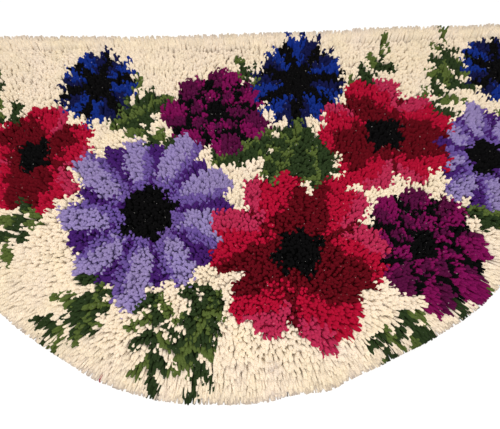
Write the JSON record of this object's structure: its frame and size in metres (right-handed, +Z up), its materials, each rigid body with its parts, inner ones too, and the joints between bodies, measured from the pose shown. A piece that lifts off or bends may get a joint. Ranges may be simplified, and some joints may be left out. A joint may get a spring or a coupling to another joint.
{
  "type": "half-moon hooked rug",
  "caption": "Half-moon hearth rug: deep cut wool pile hooked through a flat cotton canvas, with a straight back edge and a curved front.",
  "frame": {"origin": "on the floor, under the middle of the rug's bounding box", "axes": "+X along the straight edge, +Y across the rug towards the straight edge, +Z up, out of the pile"},
  "size_m": [1.086, 0.5874, 0.0247],
  "materials": {
    "canvas": "stiff open cotton canvas, matt",
    "wool": "dense cut wool pile, matt, cream ground with crimson, violet, blue and green flowers"
  },
  "bodies": {
    "root": {"foundation": "canvas", "pile": "wool"}
  },
  "joints": []
}
